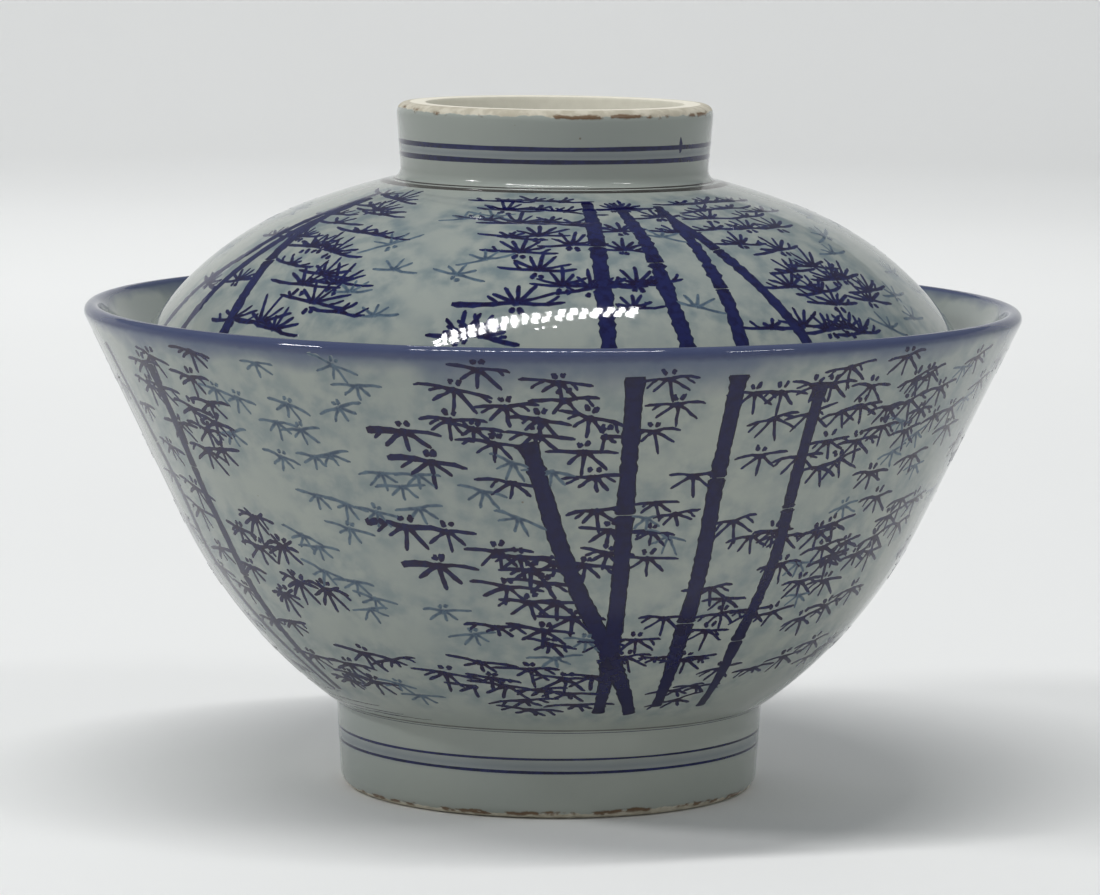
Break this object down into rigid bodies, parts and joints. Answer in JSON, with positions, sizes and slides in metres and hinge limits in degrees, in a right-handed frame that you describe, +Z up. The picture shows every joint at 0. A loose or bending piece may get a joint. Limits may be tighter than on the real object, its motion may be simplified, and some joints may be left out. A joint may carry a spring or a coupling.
{
  "type": "covered rice bowl",
  "caption": "Flared porcelain rice bowl on a turned foot ring, with a loose domed lid that sits inside the lip and lifts off by its ring knob; blue bamboo print.",
  "frame": {"origin": "centre of the foot ring's tread, on the surface that the bowl stands on", "axes": "+Z up along the axis that both pieces are turned about; -Y faces the print's grove of four stems"},
  "size_m": [0.12, 0.12, 0.088],
  "materials": {
    "porcelain_glaze": "clear, slightly grey-green feldspar glaze over white porcelain, glossy, with faint waves and pinholes",
    "cobalt_print": "underglaze cobalt printed bamboo, lines and lip band, covered by the same glossy glaze",
    "bare_porcelain": "unglazed, wiped porcelain biscuit on the two treads, matt, with iron-brown kiln stains"
  },
  "bodies": {
    "bowl": {"bowl": "porcelain_glaze"},
    "lid": {"lid": "porcelain_glaze"}
  },
  "joints": [
    {"name": "lid_lift", "type": "slide", "parent": "bowl", "child": "lid", "axis": [0, 0, 1], "range_m": [0, 0.08]}
  ]
}
